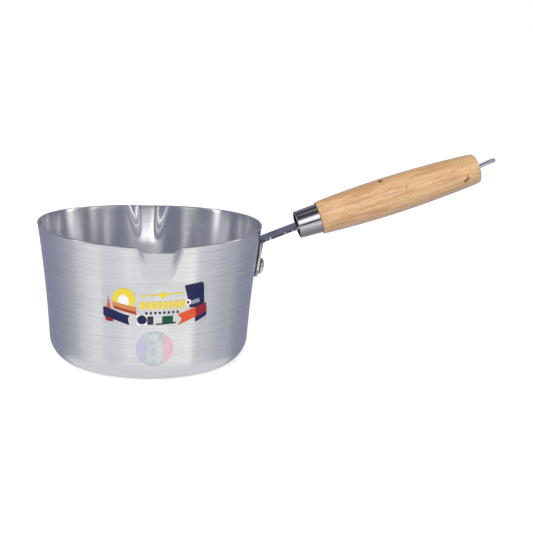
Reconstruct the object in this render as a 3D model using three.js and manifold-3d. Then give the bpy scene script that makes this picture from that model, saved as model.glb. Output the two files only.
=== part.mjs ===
// Pouring pot for melting wax: a drawn aluminium pot with two pouring lips, and a wooden grip on a riveted
// steel strap. Millimetres, +Z up. The origin is the centre of the underside, the handle runs out along +X,
// and the lips face -Y and +Y.
import * as THREE from "three";
import { mergeVertices } from "three/addons/utils/BufferGeometryUtils.js";
import Module from "manifold-3d";

const wasm = await Module();
wasm.setup();

// ---------------------------------------------------------------------------------------------------------
// Driving dimensions
// ---------------------------------------------------------------------------------------------------------
const GAP = 0.3; // between pieces that touch on the real pot

// Pot
const RIM_DIAMETER = 180;
const FOOT_DIAMETER = 160; // where the wall, carried on down, would meet the ground
const POT_HEIGHT = 111.7; // at the handle
const RIM_SWAY = 2.7; // the rim dips this far between the handle and each lip
const WALL_HOLLOW = 1.5; // the middle of the wall lies this far inside a straight cone
const WALL = 2;
const FLOOR = 2.4;
const CORNER_RADIUS = 19; // outside, between the underside and the wall

// Pouring lips, pressed out of the rim at the front and the rear
const LIP_REACH = 10;
const LIP_DROP = 2;
const LIP_FLAT = 13; // width of the lip's level bed
const LIP_WIDTH = 38; // over both shoulders, along the rim
const LIP_SHIFT = 2; // both lips sit this far from the middle, towards the handle
const FLUTE_HEIGHT = 36; // from the flute's foot up to the rim
const FLUTE_FOOT_SHARE = 0.6; // the flute's width at its foot, as a share of its width at the rim
const FLUTE_CURL = 1.6; // above 1, the flute turns out more and more towards the rim

// Strap: tab on the wall, neck, tang through the grip, and tail
const STRAP_WIDTH = 19;
const STRAP_THICKNESS = 2.2;
const RIVET_BELOW_RIM = 36.5;
const BEND_BELOW_RIM = 14.7;
const TAB_STANDOFF = 1; // the flat tab bridges the curved wall
const BEND_RADIUS = 3; // along the middle of the strap
const NECK_LENGTH = 41.3; // from the bend to the knee inside the ferrule
const NECK_RISE = 21.7; // degrees above level
const TAIL_LENGTH = 17.3; // out of the grip's end
const TAIL_WIDTH = 8;
const TAIL_KICK = 7; // degrees, upwards from the grip's line
const TANG_PARALLEL = 20; // the tang keeps the tail's width for this far inside the grip
const HANGING_HOLE = 4.4;

// Rivet
const SHANK_DIAMETER = 6;
const OUTER_HEAD_DIAMETER = 13.6;
const OUTER_HEAD_HEIGHT = 4.6;
const OUTER_HEAD_UNDERCUT = 1.3; // the outer head's edge stands this far off the tab
const INNER_HEAD_DIAMETER = 12;
const INNER_HEAD_HEIGHT = 1.8;

// Ferrule
const FERRULE_LENGTH = 19;
const MOUTH_ROOM = 3.4; // the mouth's outside diameter is this much over the strap's width
const FERRULE_TAPER = 2; // the rear's outside diameter is this much over the mouth's
const FERRULE_SHEET = 0.8;
const FERRULE_ROLL = 0.9; // outside radius of the rolled-in mouth
const FERRULE_AHEAD = 9; // the mouth lies this far in front of the strap's knee

// Grip
const GRIP_RISE = 18.4; // degrees above level
const GRIP_LENGTH = 139.5;
const GRIP_SHOULDER = 1.5; // the wood stands this proud of the ferrule
const GRIP_BELLY_DIAMETER = 31.8;
const GRIP_END_DIAMETER = 25;
const GRIP_BELLY_SHARE = 0.43; // where the grip is thickest, as a share of its length
const GRIP_END_ROUND = 2.6;
const GRIP_FRONT_ROUND = 1;
const NOSE_LENGTH = 13; // turned down to fit inside the ferrule

// Stickers
const FILM = 0.3;
const LABEL_WIDTH = 79;
const LABEL_BOTTOM = 47;
const LABEL_TOP = 81.5;
const LABEL_CORNER = 5;
const SEAL_DIAMETER = 27.8;
const SEAL_HEIGHT = 29.3; // of its middle

// Facets
const ROUND_STEPS = 96; // round the pot
const TURNED_STEPS = 40; // round the handle's turned pieces
const WALL_STEPS = 9;
const CORNER_STEPS = 5;

// ---------------------------------------------------------------------------------------------------------
// Helpers
// ---------------------------------------------------------------------------------------------------------
const radians = THREE.MathUtils.degToRad;

// A closed geometry as a solid that can be joined or cut.
function solid(geometry) {
  const bare = geometry.clone();
  bare.deleteAttribute("normal");
  bare.deleteAttribute("uv");
  const merged = mergeVertices(bare, 1e-3);
  return new wasm.Manifold(
    new wasm.Mesh({
      numProp: 3,
      vertProperties: new Float32Array(merged.attributes.position.array),
      triVerts: new Uint32Array(merged.index.array),
    }),
  );
}

// A solid as a flat-shaded geometry.
function geometryOf(manifold) {
  const { vertProperties, triVerts } = manifold.getMesh();
  const indexed = new THREE.BufferGeometry();
  indexed.setAttribute("position", new THREE.BufferAttribute(vertProperties, 3));
  indexed.setIndex(new THREE.BufferAttribute(triVerts, 1));
  const flat = indexed.toNonIndexed();
  flat.computeVertexNormals();
  return flat;
}

// A turned shape about +Z from a profile of (radius, height).
function turnedUp(profile, steps) {
  return new THREE.LatheGeometry(profile, steps).rotateX(Math.PI / 2);
}

// A turned shape about +X from a profile of (radius, distance along X).
function turnedAlong(profile, steps) {
  return new THREE.LatheGeometry(profile, steps).rotateZ(-Math.PI / 2);
}

// A flat outline made thick about its own plane. The outline's x runs along a direction in the XZ plane,
// and its y along the world's Y.
function plate(outline, thickness, origin, direction) {
  const along = new THREE.Vector3(direction.x, 0, direction.y);
  const across = new THREE.Vector3(0, 1, 0);
  const through = new THREE.Vector3().crossVectors(along, across);
  const place = new THREE.Matrix4().makeBasis(along, across, through).setPosition(origin.x, 0, origin.y);
  return new THREE.ExtrudeGeometry(outline, { depth: thickness, bevelEnabled: false, curveSegments: 12 })
    .translate(0, 0, -thickness / 2)
    .applyMatrix4(place);
}

// An outline in the XZ plane made wide about y = 0.
function sideways(outline, width) {
  return new THREE.ExtrudeGeometry(outline, { depth: width, bevelEnabled: false, curveSegments: 12 })
    .rotateX(Math.PI / 2)
    .translate(0, width / 2, 0);
}

function heading(degrees) {
  return new THREE.Vector2(Math.cos(radians(degrees)), Math.sin(radians(degrees)));
}

function arc(x, y, radius, fromDegrees, toDegrees, steps) {
  const clockwise = toDegrees < fromDegrees;
  const curve = new THREE.EllipseCurve(x, y, radius, radius, radians(fromDegrees), radians(toDegrees), clockwise);
  return curve.getPoints(steps);
}

function finish(color, roughness, metalness) {
  return new THREE.MeshStandardMaterial({ color, roughness, metalness });
}

function piece(name, geometry, material) {
  const mesh = new THREE.Mesh(geometry, material);
  mesh.name = name;
  return mesh;
}

// ---------------------------------------------------------------------------------------------------------
// Pot
// ---------------------------------------------------------------------------------------------------------
// The outside radius of the wall at a height: a cone with a shallow, even hollow.
function wallRadius(height) {
  const up = height / POT_HEIGHT;
  const cone = FOOT_DIAMETER / 2 + ((RIM_DIAMETER - FOOT_DIAMETER) / 2) * up;
  return cone - WALL_HOLLOW * 4 * up * (1 - up);
}

// The wall's lean outwards at a height, in degrees.
function wallLean(height) {
  const step = 0.01;
  return THREE.MathUtils.radToDeg(Math.atan((wallRadius(height + step) - wallRadius(height - step)) / (2 * step)));
}

// The pot's outside from the middle of the underside to the rim, moved outwards by an offset.
function outsideLine(offset) {
  const lean = wallLean(CORNER_RADIUS);
  const wallFoot = CORNER_RADIUS * (1 - Math.sin(radians(lean)));
  const centre = wallRadius(wallFoot) - CORNER_RADIUS * Math.cos(radians(lean));
  const line = [new THREE.Vector2(0, -offset)];
  line.push(...arc(centre, CORNER_RADIUS, CORNER_RADIUS + offset, -90, -lean, CORNER_STEPS));
  for (let i = 1; i <= WALL_STEPS; i++) {
    const height = THREE.MathUtils.lerp(wallFoot, POT_HEIGHT, i / WALL_STEPS);
    line.push(new THREE.Vector2(wallRadius(height) + offset, height));
  }
  return line;
}

// The inside line meets the floor at its own thickness.
function insideLine() {
  const line = outsideLine(-WALL).filter((point) => point.y > FLOOR && point.y < POT_HEIGHT);
  const floorEdge = outsideLine(-WALL)[1].x;
  return [new THREE.Vector2(0, FLOOR), new THREE.Vector2(floorEdge, FLOOR), ...line];
}

// Gives a turned pot geometry its swaying rim and presses both lips into it.
function formRim(geometry) {
  const rim = RIM_DIAMETER / 2;
  const turn = Math.asin(LIP_SHIFT / rim);
  const position = geometry.attributes.position;
  const point = new THREE.Vector3();
  for (let i = 0; i < position.count; i++) {
    point.fromBufferAttribute(position, i);
    const radius = Math.max(Math.hypot(point.x, point.y), 1e-9);
    const up = THREE.MathUtils.clamp(1 + (point.z - POT_HEIGHT) / FLUTE_HEIGHT, 0, 1);
    const width = THREE.MathUtils.lerp(FLUTE_FOOT_SHARE, 1, up);
    const side = point.y < 0 ? -1 : 1;
    const fromLip = Math.abs(Math.atan2(point.x, point.y * side) - turn) * rim;
    const across = 1 - THREE.MathUtils.smoothstep(fromLip, (LIP_FLAT / 2) * width, (LIP_WIDTH / 2) * width);
    const push = across * Math.pow(up, FLUTE_CURL);
    const grow = 1 + (LIP_REACH * push) / radius;
    const sway = RIM_SWAY * Math.pow(point.y / radius, 2) * Math.pow(point.z / POT_HEIGHT, 3);
    position.setXYZ(i, point.x * grow, point.y * grow, point.z - LIP_DROP * push - sway);
  }
  return geometry;
}

function potShell() {
  const rimRound = arc(RIM_DIAMETER / 2 - WALL / 2, POT_HEIGHT - WALL / 2, WALL / 2, 0, 180, 4);
  const outside = outsideLine(0).slice(0, -1);
  const profile = [...outside, ...rimRound, ...insideLine().reverse()];
  return formRim(turnedUp(profile, ROUND_STEPS));
}

// ---------------------------------------------------------------------------------------------------------
// Strap
// ---------------------------------------------------------------------------------------------------------
const rivetHeight = POT_HEIGHT - RIVET_BELOW_RIM;
const tabFoot = new THREE.Vector2(0, rivetHeight - STRAP_WIDTH / 2);
tabFoot.x = wallRadius(tabFoot.y) + TAB_STANDOFF;
const tabHead = new THREE.Vector2(0, POT_HEIGHT - BEND_BELOW_RIM);
tabHead.x = wallRadius(tabHead.y) + TAB_STANDOFF;
const tabUp = tabHead.clone().sub(tabFoot).normalize();
const tabOut = new THREE.Vector2(tabUp.y, -tabUp.x);

// Corners of the strap's middle line
const tabEnd = tabFoot.clone().addScaledVector(tabOut, STRAP_THICKNESS / 2);
const bend = tabHead.clone().addScaledVector(tabOut, STRAP_THICKNESS / 2);
const knee = bend.clone().addScaledVector(heading(NECK_RISE), NECK_LENGTH);
const gripFront = FERRULE_LENGTH - FERRULE_AHEAD + GAP; // along the grip's line, from the knee
const gripEnd = gripFront + GRIP_LENGTH;
const kick = knee.clone().addScaledVector(heading(GRIP_RISE), gripEnd);
const tip = kick.clone().addScaledVector(heading(GRIP_RISE + TAIL_KICK), TAIL_LENGTH);
const rivetSeat = tabEnd.clone().addScaledVector(tabUp, STRAP_WIDTH / 2);
const holeCentre = tip.clone().addScaledVector(heading(GRIP_RISE + TAIL_KICK), -TAIL_WIDTH / 2);

// The strap's middle line, with its main bend rounded.
function strapLine() {
  const tabRise = THREE.MathUtils.radToDeg(tabUp.angle());
  const turn = radians(tabRise - NECK_RISE);
  const centre = bend
    .clone()
    .addScaledVector(tabUp, -BEND_RADIUS * Math.tan(turn / 2))
    .addScaledVector(tabOut, BEND_RADIUS);
  const rounded = arc(centre.x, centre.y, BEND_RADIUS, 90 + tabRise, 90 + NECK_RISE, 6);
  return [tabEnd, ...rounded, knee, kick, tip];
}

// A line in the XZ plane made into an outline of even thickness.
function thicken(line, thickness) {
  const sides = line.map((point, i) => {
    const before = line[Math.max(i - 1, 0)];
    const after = line[Math.min(i + 1, line.length - 1)];
    const ahead = after.clone().sub(before).normalize();
    return new THREE.Vector2(-ahead.y, ahead.x).multiplyScalar(thickness / 2);
  });
  const upper = line.map((point, i) => point.clone().add(sides[i]));
  const lower = line.map((point, i) => point.clone().sub(sides[i]));
  return new THREE.Shape([...lower, ...upper.reverse()]);
}

// The tab seen square on: x runs up the tab from the rivet.
function tabOutline(halfWidth) {
  const reach = STRAP_WIDTH * 2;
  const outline = new THREE.Shape();
  outline.moveTo(reach, -halfWidth);
  outline.lineTo(reach, halfWidth);
  outline.lineTo(0, halfWidth);
  outline.absarc(0, 0, halfWidth, Math.PI / 2, -Math.PI / 2 + 2 * Math.PI, false);
  return outline;
}

// Neck, tang and tail seen square on: x runs along the grip's line from the knee.
function tangOutline(growth) {
  const neck = STRAP_WIDTH / 2 + growth;
  const tail = TAIL_WIDTH / 2 + growth;
  const tailCentre = gripEnd + TAIL_LENGTH - TAIL_WIDTH / 2;
  const taperEnd = gripEnd - TANG_PARALLEL;
  const outline = new THREE.Shape();
  outline.moveTo(-NECK_LENGTH * 1.5, -neck);
  outline.lineTo(0, -neck);
  outline.lineTo(taperEnd, -tail);
  outline.lineTo(tailCentre, -tail);
  outline.absarc(tailCentre, 0, tail, -Math.PI / 2, Math.PI / 2, false);
  outline.lineTo(taperEnd, tail);
  outline.lineTo(0, neck);
  outline.lineTo(-NECK_LENGTH * 1.5, neck);
  return outline;
}

// The strap without its holes, grown on every side by a clearance.
function strapBlank(growth) {
  const thickness = STRAP_THICKNESS + 2 * growth;
  const strip = solid(sideways(thicken(strapLine(), thickness), STRAP_WIDTH + 2 * growth));
  const cover = STRAP_THICKNESS * 6;
  const tab = solid(plate(tabOutline(STRAP_WIDTH / 2 + growth), cover, rivetSeat, tabUp));
  const tang = solid(plate(tangOutline(growth), cover, knee, heading(GRIP_RISE)));
  return strip.intersect(tab.add(tang));
}

// A round bar through the tab and the wall, about the rivet's line.
function rivetBar(diameter) {
  const circle = new THREE.Shape().absarc(0, 0, diameter / 2, 0, 2 * Math.PI, false);
  return solid(plate(circle, STRAP_WIDTH, rivetSeat, tabUp));
}

function strap() {
  const circle = new THREE.Shape().absarc(0, 0, HANGING_HOLE / 2, 0, 2 * Math.PI, false);
  const hangingHole = solid(plate(circle, STRAP_WIDTH, holeCentre, heading(GRIP_RISE + TAIL_KICK)));
  return geometryOf(strapBlank(0).subtract(rivetBar(SHANK_DIAMETER + 2 * GAP)).subtract(hangingHole));
}

// ---------------------------------------------------------------------------------------------------------
// Rivet: x runs outwards along its own line, from the middle of the tab's thickness
// ---------------------------------------------------------------------------------------------------------
function rivet() {
  const outerSeat = STRAP_THICKNESS / 2 + GAP;
  const seatHeight = rivetSeat.y + STRAP_THICKNESS / 2 * tabUp.x;
  const wallInside = wallRadius(seatHeight) - WALL;
  const headRadius = INNER_HEAD_DIAMETER / 2;
  const sag = wallInside - Math.sqrt(wallInside * wallInside - headRadius * headRadius);
  const innerSeat = -((rivetSeat.x - wallInside) * tabOut.x + sag + GAP * 2);
  const shank = SHANK_DIAMETER / 2;
  const outerEdge = outerSeat + OUTER_HEAD_UNDERCUT;
  const outerHead = domeProfile(OUTER_HEAD_DIAMETER / 2, OUTER_HEAD_HEIGHT - OUTER_HEAD_UNDERCUT, outerEdge, 1);
  const innerHead = domeProfile(INNER_HEAD_DIAMETER / 2, INNER_HEAD_HEIGHT, innerSeat, -1);
  const profile = [
    ...innerHead,
    new THREE.Vector2(shank, innerSeat),
    new THREE.Vector2(shank, outerSeat),
    ...outerHead.reverse(),
  ];
  return turnedAlong(profile, 32);
}

// A low dome from its crown on the axis to its edge, as points of (radius, distance along the axis).
function domeProfile(radius, height, seat, side) {
  const steps = 5;
  const edge = height * 0.25; // the dome starts from a short upright edge
  const points = [];
  for (let i = 0; i <= steps; i++) {
    const angle = (i / steps) * (Math.PI / 2);
    const rise = edge + (height - edge) * Math.cos(angle);
    points.push(new THREE.Vector2(radius * Math.sin(angle), seat + side * rise));
  }
  points.push(new THREE.Vector2(radius, seat));
  return points;
}

// ---------------------------------------------------------------------------------------------------------
// Ferrule and grip: x runs along the grip's line from the knee
// ---------------------------------------------------------------------------------------------------------
// The ferrule's outside radius at a distance behind its mouth.
function ferruleRadius(behindMouth) {
  return (STRAP_WIDTH + MOUTH_ROOM + (FERRULE_TAPER * behindMouth) / FERRULE_LENGTH) / 2;
}

const gripFrontRadius = ferruleRadius(FERRULE_LENGTH) + GRIP_SHOULDER;

function ferrule() {
  const mouth = -FERRULE_AHEAD;
  const rear = mouth + FERRULE_LENGTH;
  const rollCentre = ferruleRadius(FERRULE_ROLL) - FERRULE_ROLL;
  const roll = arc(rollCentre, mouth + FERRULE_ROLL, FERRULE_ROLL, 0, -90, 4);
  const profile = [
    new THREE.Vector2(ferruleRadius(FERRULE_LENGTH), rear),
    ...roll,
    new THREE.Vector2(rollCentre, mouth + FERRULE_SHEET),
    new THREE.Vector2(ferruleRadius(FERRULE_ROLL) - FERRULE_SHEET, mouth + FERRULE_ROLL),
    new THREE.Vector2(ferruleRadius(FERRULE_LENGTH) - FERRULE_SHEET, rear),
    new THREE.Vector2(ferruleRadius(FERRULE_LENGTH), rear),
  ];
  return turnedAlong(profile.reverse(), TURNED_STEPS);
}

// The grip's radius at a share of its length: two half waves that meet at the belly.
function gripRadius(share) {
  const belly = GRIP_BELLY_DIAMETER / 2;
  const front = share < GRIP_BELLY_SHARE;
  const end = front ? gripFrontRadius : GRIP_END_DIAMETER / 2;
  const away = front ? 1 - share / GRIP_BELLY_SHARE : (share - GRIP_BELLY_SHARE) / (1 - GRIP_BELLY_SHARE);
  return belly - (belly - end) * Math.pow(away, 2);
}

function grip(toGripFrame) {
  const noseFront = gripFront - NOSE_LENGTH;
  const noseFit = FERRULE_SHEET + GAP;
  const frontEdge = gripFrontRadius - GRIP_FRONT_ROUND;
  const endEdge = GRIP_END_DIAMETER / 2 - GRIP_END_ROUND;
  const bodyFront = gripFront + GRIP_FRONT_ROUND;
  const bodyEnd = gripEnd - GRIP_END_ROUND;
  const profile = [
    new THREE.Vector2(0, noseFront),
    new THREE.Vector2(ferruleRadius(noseFront + FERRULE_AHEAD) - noseFit, noseFront),
    new THREE.Vector2(ferruleRadius(FERRULE_LENGTH) - noseFit, gripFront),
    ...arc(frontEdge, bodyFront, GRIP_FRONT_ROUND, -90, 0, 3),
  ];
  const steps = 16;
  for (let i = 1; i < steps; i++) {
    const x = THREE.MathUtils.lerp(bodyFront, bodyEnd, i / steps);
    profile.push(new THREE.Vector2(gripRadius((x - gripFront) / GRIP_LENGTH), x));
  }
  profile.push(...arc(endEdge, bodyEnd, GRIP_END_ROUND, 0, 90, 4), new THREE.Vector2(0, gripEnd));
  const wood = solid(turnedAlong(profile, TURNED_STEPS));
  const slot = solid(geometryOf(strapBlank(GAP)).applyMatrix4(toGripFrame));
  return geometryOf(wood.subtract(slot));
}

// ---------------------------------------------------------------------------------------------------------
// Stickers
// ---------------------------------------------------------------------------------------------------------
// A sheet of film over the whole outside of the pot, clear of it by the gap.
function skin() {
  const [over, under] = [GAP + FILM, GAP].map((offset) => {
    const profile = [...outsideLine(offset), new THREE.Vector2(0, POT_HEIGHT)];
    return solid(formRim(turnedUp(profile, ROUND_STEPS)));
  });
  return over.subtract(under);
}

// The part of the skin that an outline in the XZ plane cuts out of the pot's front.
function sticker(outline) {
  const cutter = sideways(outline, RIM_DIAMETER).translate(0, -RIM_DIAMETER / 2, 0);
  return geometryOf(skin().intersect(solid(cutter)));
}

function labelOutline() {
  const half = LABEL_WIDTH / 2;
  const round = LABEL_CORNER;
  const outline = new THREE.Shape();
  outline.moveTo(-half + round, LABEL_BOTTOM);
  outline.absarc(half - round, LABEL_BOTTOM + round, round, -Math.PI / 2, 0, false);
  outline.absarc(half - round, LABEL_TOP - round, round, 0, Math.PI / 2, false);
  outline.absarc(-half + round, LABEL_TOP - round, round, Math.PI / 2, Math.PI, false);
  outline.absarc(-half + round, LABEL_BOTTOM + round, round, Math.PI, Math.PI * 1.5, false);
  return outline;
}

function sealOutline() {
  return new THREE.Shape().absarc(0, SEAL_HEIGHT, SEAL_DIAMETER / 2, 0, 2 * Math.PI, false);
}

// ---------------------------------------------------------------------------------------------------------
// Assembly
// ---------------------------------------------------------------------------------------------------------
const aluminium = finish(0xb9bcc6, 0.34, 1);
const steel = finish(0x6e7180, 0.42, 1);
const rivetSteel = finish(0x9a9ca6, 0.3, 1);
const polishedSteel = finish(0xc9ccd2, 0.12, 1);
const wood = finish(0xdcb182, 0.45, 0);
const printedFilm = finish(0x23306a, 0.35, 0);
const foil = finish(0xd2c8dc, 0.25, 0.6);

const handle = new THREE.Group();
handle.position.set(knee.x, 0, knee.y);
handle.rotation.y = -radians(GRIP_RISE);
handle.updateMatrixWorld(true);
handle.add(piece("ferrule", ferrule(), polishedSteel));
handle.add(piece("wooden_grip", grip(handle.matrixWorld.clone().invert()), wood));

const rivetPiece = piece("handle_rivet", rivet(), rivetSteel);
rivetPiece.position.set(rivetSeat.x, 0, rivetSeat.y);
rivetPiece.rotation.y = Math.atan2(-tabOut.y, tabOut.x);

const pot = new THREE.Group();
const drilledPot = solid(potShell()).subtract(rivetBar(SHANK_DIAMETER + 2 * GAP));
pot.add(piece("pot_body", geometryOf(drilledPot), aluminium));
pot.add(piece("handle_strap", strap(), steel));
pot.add(rivetPiece);
pot.add(handle);
pot.add(piece("label_film", sticker(labelOutline()), printedFilm));
pot.add(piece("seal_sticker", sticker(sealOutline()), foil));

export default pot;
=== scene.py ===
"""Wax melting pot: a drawn aluminium pot with two pouring lips and a wooden grip on a riveted steel strap.

Metres, +Z up. The origin is the centre of the underside, the handle runs out along +X, and the lips face
-Y and +Y.
"""

import math
from collections import namedtuple
from types import SimpleNamespace

import bmesh
import bpy
from mathutils import Matrix, Vector


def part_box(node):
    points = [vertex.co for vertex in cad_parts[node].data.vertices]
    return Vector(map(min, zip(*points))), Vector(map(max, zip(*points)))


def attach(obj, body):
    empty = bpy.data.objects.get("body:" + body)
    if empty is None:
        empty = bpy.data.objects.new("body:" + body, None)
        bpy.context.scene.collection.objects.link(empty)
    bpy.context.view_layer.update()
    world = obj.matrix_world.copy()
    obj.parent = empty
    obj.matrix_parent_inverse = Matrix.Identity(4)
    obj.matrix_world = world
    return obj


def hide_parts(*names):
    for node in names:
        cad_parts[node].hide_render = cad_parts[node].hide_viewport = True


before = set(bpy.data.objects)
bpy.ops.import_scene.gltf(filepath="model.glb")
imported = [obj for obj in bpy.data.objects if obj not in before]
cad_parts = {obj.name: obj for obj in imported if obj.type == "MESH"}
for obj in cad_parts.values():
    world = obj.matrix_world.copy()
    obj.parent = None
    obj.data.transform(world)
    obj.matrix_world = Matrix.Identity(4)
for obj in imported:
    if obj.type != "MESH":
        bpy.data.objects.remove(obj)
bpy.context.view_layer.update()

bl_info = {
    "name": "Wax melting pot",
    "version": (1, 0, 0),
    "blender": (4, 5, 0),
    "location": "View3D > Sidebar > Melting pot",
    "description": "Builds an aluminium wax melting pot with pouring lips and a wooden grip",
    "category": "Add Mesh",
}

MM = 0.001
WELD = 1e-6
FIT_GAP = 0.3 * MM
RIVET_ROOM = 0.6 * MM
EDGE_BREAK = 0.4 * MM
FLOOR_STEPS, CORNER_STEPS, WALL_STEPS = 6, 14, 56
WHITE = (1, 1, 1, 1)


# Settings.

def length(name, millimetres, description):
    return bpy.props.FloatProperty(
        name=name, description=description, default=millimetres * MM, precision=4, unit="LENGTH"
    )


def angle(name, degrees, description):
    return bpy.props.FloatProperty(
        name=name, description=description, default=math.radians(degrees), subtype="ANGLE"
    )


def share(name, value, description):
    return bpy.props.FloatProperty(name=name, description=description, default=value, subtype="FACTOR")


def colour(name, value, description):
    return bpy.props.FloatVectorProperty(
        name=name, description=description, default=value, size=3, min=0, max=1, subtype="COLOR"
    )


def cad_size(node, axis):
    """How long a CAD node is along an axis, in millimetres."""
    low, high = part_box(node)
    return (high[axis] - low[axis]) / MM


class PotSizes(bpy.types.PropertyGroup):
    rim_diameter: length("Rim diameter", cad_size("pot_body", 0), "Across the rim, from side to side")
    foot_diameter: length("Foot diameter", 160, "Where the wall, carried on down, would meet the ground")
    height: length("Height", cad_size("pot_body", 2), "Up to the rim, at the handle")
    rim_sway: length("Rim sway", 2.7, "How far the rim dips between the handle and each lip")
    wall_hollow: length("Wall hollow", 1.5, "How far the wall's middle lies inside a straight cone")
    wall: length("Wall", 2, "Thickness of the wall")
    floor: length("Floor", 2.4, "Thickness of the floor")
    corner_radius: length("Corner radius", 19, "Outside, between the underside and the wall")
    lip_reach: length("Lip reach", 9.92, "How far each lip stands out from the rim")
    lip_drop: length("Lip drop", 2, "How far each lip's bed lies below the rim")
    lip_flat: length("Lip bed", 13, "Width of the lip's level bed")
    lip_width: length("Lip width", 38, "Over both shoulders, along the rim")
    lip_shift: length("Lip shift", 2, "How far both lips sit from the middle, towards the handle")
    flute_height: length("Flute height", 36, "From the flute's foot up to the rim")
    flute_foot: share("Flute foot", 0.6, "The flute's width at its foot, as a share of its width at the rim")
    flute_curl: bpy.props.FloatProperty(
        name="Flute curl", description="Above 1, the flute turns out more towards the rim", default=1.6
    )


class StrapSizes(bpy.types.PropertyGroup):
    width: length("Width", cad_size("handle_strap", 1), "Width of the tab and the neck")
    thickness: length("Thickness", 2.2, "Thickness of the strap")
    rivet_below_rim: length("Rivet below rim", 36.5, "From the rim down to the rivet")
    bend_below_rim: length("Bend below rim", 14.7, "From the rim down to the bend")
    standoff: length("Tab standoff", 1, "The flat tab bridges the curved wall by this much")
    bend_radius: length("Bend radius", 3, "Along the middle of the strap")
    knee_radius: length("Knee radius", 30, "Where the strap turns onto the grip's line")
    kick_radius: length("Kick radius", 12, "Where the tail turns up")
    neck_length: length("Neck length", 41.3, "From the bend to the knee inside the ferrule")
    neck_rise: angle("Neck rise", 21.7, "Above level")
    tail_length: length("Tail length", 17.28, "Out of the grip's end")
    tail_width: length("Tail width", 8, "Width of the tail")
    tail_kick: angle("Tail kick", 7, "Upwards from the grip's line")
    tang_parallel: length("Parallel tang", 20, "The tang keeps the tail's width for this far inside the grip")
    hole: length("Hanging hole", 4.4, "Diameter of the hole in the tail")


class RivetSizes(bpy.types.PropertyGroup):
    shank: length("Shank", 6, "Diameter of the shank")
    head: length("Outer head", 13.6, "Diameter of the outer head")
    head_height: length("Outer head height", 4.6, "Height of the outer head above the tab")
    undercut: length("Undercut", 1.3, "How far the outer head's edge stands off the tab")
    inner_head: length("Inner head", 12, "Diameter of the inner head")
    inner_height: length("Inner head height", 1.8, "Height of the inner head")


class GripSizes(bpy.types.PropertyGroup):
    rise: angle("Grip rise", 18.4, "Above level")
    length: length("Grip length", 139.5, "Length of the wood behind the ferrule")
    shoulder: length("Shoulder", 1.5, "The wood stands this proud of the ferrule")
    belly: length("Belly", 31.78, "Thickest diameter")
    end: length("End diameter", 24.96, "Diameter at the grip's end")
    belly_share: share("Belly place", 0.43, "Where the grip is thickest, as a share of its length")
    end_round: length("End round", 2.6, "Radius round the grip's end")
    front_round: length("Front round", 1, "Radius round the grip's front")
    nose: length("Nose", 13, "Turned down to fit inside the ferrule")
    ferrule_length: length("Ferrule length", 19, "Length of the ferrule")
    mouth_room: length("Mouth room", 3.4, "The mouth is this much wider than the strap")
    ferrule_taper: length("Ferrule taper", 2, "The ferrule's rear is this much wider than its mouth")
    ferrule_sheet: length("Ferrule sheet", 0.8, "Thickness of the ferrule")
    ferrule_roll: length("Ferrule roll", 0.9, "Outside radius of the rolled-in mouth")
    ferrule_ahead: length("Ferrule ahead", 9, "The mouth lies this far in front of the strap's knee")


class StickerSizes(bpy.types.PropertyGroup):
    label_width: length("Label width", cad_size("label_film", 0), "Across the clear label")
    label_corner: length("Label corner", 5, "Radius of the label's corners")
    film: length("Film", 0.12, "Thickness of a sticker")
    lift: length("Lift", 0.06, "How far a sticker's back lies off the wall")


class FinishColours(bpy.types.PropertyGroup):
    aluminium: colour("Aluminium", (0.765, 0.768, 0.80), "Brushed aluminium of the pot")
    strap: colour("Strap steel", (0.27, 0.28, 0.33), "Rolled steel of the strap")
    rivet: colour("Rivet", (0.84, 0.83, 0.84), "Steel of the rivet")
    ferrule: colour("Ferrule", (0.47, 0.46, 0.50), "Polished steel of the ferrule")
    wood: colour("Wood", (0.62, 0.365, 0.162), "Pale wood of the grip")
    wood_dark: colour("Wood grain", (0.32, 0.125, 0.04), "Darker streaks in the wood")
    wood_light: colour("Wood light", (0.74, 0.49, 0.265), "Lighter streaks in the wood")
    floor: colour("Floor", (0.93, 0.93, 0.94), "Pale floor")


class MeltingPotSettings(bpy.types.PropertyGroup):
    pot: bpy.props.PointerProperty(type=PotSizes)
    strap: bpy.props.PointerProperty(type=StrapSizes)
    rivet: bpy.props.PointerProperty(type=RivetSizes)
    grip: bpy.props.PointerProperty(type=GripSizes)
    sticker: bpy.props.PointerProperty(type=StickerSizes)
    finish: bpy.props.PointerProperty(type=FinishColours)


def settings():
    """The settings as plain numbers, one namespace a group."""
    made = bpy.context.scene.melting_pot
    groups = {}
    for group in ("pot", "strap", "rivet", "grip", "sticker", "finish"):
        values = getattr(made, group)
        names = [name for name in values.bl_rna.properties.keys() if name not in {"rna_type", "name"}]
        groups[group] = SimpleNamespace(**{name: getattr(values, name) for name in names})
    return SimpleNamespace(**groups)


# Shapes of the pot.

def clamp(value):
    return min(max(value, 0.0), 1.0)


def smoothstep(value, low, high):
    t = clamp((value - low) / (high - low))
    return t * t * (3 - 2 * t)


def wall_radius(pot, height):
    """The outside radius of the wall: a cone with a shallow, even hollow."""
    up = height / pot.height
    cone = (pot.foot_diameter + (pot.rim_diameter - pot.foot_diameter) * up) / 2
    return cone - pot.wall_hollow * 4 * up * (1 - up)


def corner(pot):
    """The lean of the wall above the corner, the height where the corner ends, and its centre's radius."""
    radius = pot.corner_radius
    step = 1e-5
    lean = math.atan((wall_radius(pot, radius + step) - wall_radius(pot, radius - step)) / (2 * step))
    foot = radius * (1 - math.sin(lean))
    return lean, foot, wall_radius(pot, foot) - radius * math.cos(lean)


def outer_radius(pot, height):
    """The outside radius of the turned pot at a height above the underside."""
    radius = pot.corner_radius
    _, foot, centre = corner(pot)
    if height >= foot:
        return wall_radius(pot, height)
    return centre + math.sqrt(max(radius**2 - (radius - height) ** 2, 0))


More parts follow.
